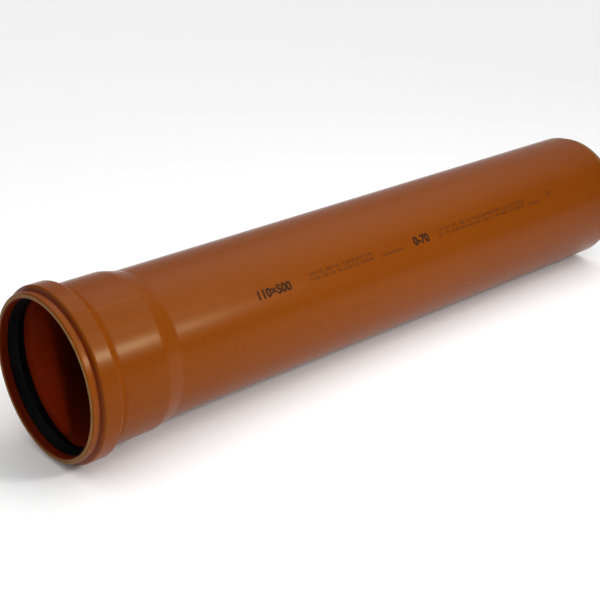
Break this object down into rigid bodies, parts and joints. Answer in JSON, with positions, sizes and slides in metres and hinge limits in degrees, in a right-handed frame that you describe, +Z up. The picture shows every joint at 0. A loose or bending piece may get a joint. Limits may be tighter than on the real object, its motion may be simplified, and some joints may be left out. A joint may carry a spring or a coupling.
{
  "type": "pvc sewer pipe",
  "caption": "Orange-brown plastic sewer pipe with a formed socket that holds a rubber lip seal in its groove, and a plain chamfered spigot end.",
  "frame": {"origin": "on the floor under the middle of the pipe's length", "axes": "+X along the pipe from the socket's mouth to the spigot end, leaning down by less than a degree because the bead is wider than the barrel; +Z up"},
  "size_m": [0.5715, 0.126, 0.1262],
  "materials": {
    "pvc": "satin",
    "seal_rubber": "matte"
  },
  "bodies": {
    "root": {"pipe": "pvc", "seal_ring": "seal_rubber"}
  },
  "joints": []
}
